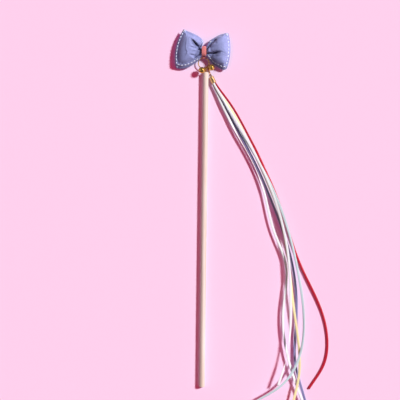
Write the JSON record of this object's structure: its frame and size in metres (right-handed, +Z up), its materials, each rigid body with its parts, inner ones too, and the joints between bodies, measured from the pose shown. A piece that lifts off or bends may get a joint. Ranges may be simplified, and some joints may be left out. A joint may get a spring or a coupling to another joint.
{
  "type": "ribbon wand",
  "caption": "Hand-held ribbon wand: slim wooden stick with a hanging ring that carries a padded fabric bow, jingle bells and a metal cap holding a tassel of long satin ribbons.",
  "frame": {"origin": "centre of the stick's flat bottom face", "axes": "+Z up along the stick towards the bow, +X towards the side the tassel hangs on, -Y the way the bow's front faces"},
  "size_m": [0.1998, 0.0176, 0.4783],
  "materials": {
    "stick_wood": "satin lacquer",
    "gold_hardware": "polished",
    "cap_gold": "polished",
    "link_gold": "polished rose gold",
    "bow_fabric": "plain weave",
    "stuffing": "fibre wadding",
    "stitch_thread": "matt thread",
    "coral_ribbon": "satin",
    "glue": "hardened glue",
    "white_satin": "satin",
    "sky_blue_satin": "satin",
    "yellow_satin": "satin",
    "periwinkle_satin": "satin",
    "red_satin": "satin"
  },
  "bodies": {
    "wand": {"stick": "stick_wood", "screw_eye": "gold_hardware"},
    "main_ring": {"main_ring": "gold_hardware"},
    "bow": {"bow_front_panel": "bow_fabric", "bow_back_panel": "bow_fabric", "left_stuffing": "stuffing", "right_stuffing": "stuffing", "edge_stitching": "stitch_thread", "centre_wrap": "coral_ribbon", "ring_tab": "coral_ribbon"},
    "left_bell": {"left_bell_loop": "gold_hardware", "left_bell_top": "gold_hardware", "left_bell_bottom": "gold_hardware"},
    "left_pellet": {"left_bell_pellet": "gold_hardware"},
    "right_bell": {"right_bell_loop": "gold_hardware", "right_bell_top": "gold_hardware", "right_bell_bottom": "gold_hardware"},
    "right_pellet": {"right_bell_pellet": "gold_hardware"},
    "link": {"tassel_link": "link_gold"},
    "cap": {"tassel_cap": "cap_gold", "cap_loop": "cap_gold", "glue_plug": "glue"},
    "white_ribbon_right": {"white_ribbon_right": "white_satin"},
    "sky_blue_ribbon": {"sky_blue_ribbon": "sky_blue_satin"},
    "yellow_ribbon": {"yellow_ribbon": "yellow_satin"},
    "white_ribbon_left": {"white_ribbon_left": "white_satin"},
    "periwinkle_ribbon": {"periwinkle_ribbon": "periwinkle_satin"},
    "red_ribbon": {"red_ribbon": "red_satin"}
  },
  "joints": [
    {"name": "ring_swing", "type": "hinge", "parent": "wand", "child": "main_ring", "pos_m": [0, 0, 0.40529], "axis": [1, 0, 0], "range_deg": [-110, 6]},
    {"name": "bow_tilt", "type": "hinge", "parent": "main_ring", "child": "bow", "pos_m": [-0.0028, 0, 0.4185], "axis": [1, 0, 0], "range_deg": [-90, 6]},
    {"name": "left_bell_swing", "type": "hinge", "parent": "main_ring", "child": "left_bell", "pos_m": [-0.00435, 0, 0.40488], "axis": [0.9744, 0, -0.225], "range_deg": [-40, 0]},
    {"name": "left_pellet_rattle", "type": "slide", "parent": "left_bell", "child": "left_pellet", "axis": [0.1072, 0.8773, 0.4679], "range_m": [-0.0004, 0.003]},
    {"name": "right_bell_swing", "type": "hinge", "parent": "main_ring", "child": "right_bell", "pos_m": [0.0035, 0, 0.40879], "axis": [0.4067, 0, 0.9135], "range_deg": [-25, 30]},
    {"name": "right_pellet_rattle", "type": "slide", "parent": "right_bell", "child": "right_pellet", "axis": [-0.5904, 0.6402, 0.4914], "range_m": [-0.0004, 0.003]},
    {"name": "link_swing", "type": "hinge", "parent": "main_ring", "child": "link", "pos_m": [0.00233, 0, 0.40698], "axis": [0.6691, 0, 0.7431], "range_deg": [-30, 60]},
    {"name": "cap_swing", "type": "hinge", "parent": "link", "child": "cap", "pos_m": [0.00597, 0, 0.39576], "axis": [0, -1, 0], "range_deg": [-5, 60]},
    {"name": "white_right_sway", "type": "hinge", "parent": "cap", "child": "white_ribbon_right", "pos_m": [0.01086, 0, 0.38658], "axis": [0, -1, 0], "range_deg": [-5, 5]},
    {"name": "sky_blue_sway", "type": "hinge", "parent": "cap", "child": "sky_blue_ribbon", "pos_m": [0.01086, 0, 0.38658], "axis": [0, -1, 0], "range_deg": [-5, 5]},
    {"name": "yellow_sway", "type": "hinge", "parent": "cap", "child": "yellow_ribbon", "pos_m": [0.01086, 0, 0.38658], "axis": [0, -1, 0], "range_deg": [-5, 5]},
    {"name": "white_left_sway", "type": "hinge", "parent": "cap", "child": "white_ribbon_left", "pos_m": [0.01086, 0, 0.38658], "axis": [0, -1, 0], "range_deg": [-5, 5]},
    {"name": "periwinkle_sway", "type": "hinge", "parent": "cap", "child": "periwinkle_ribbon", "pos_m": [0.01086, 0, 0.38658], "axis": [0, -1, 0], "range_deg": [-5, 5]},
    {"name": "red_sway", "type": "hinge", "parent": "cap", "child": "red_ribbon", "pos_m": [0.01086, 0, 0.38658], "axis": [0, -1, 0], "range_deg": [-5, 5]}
  ]
}
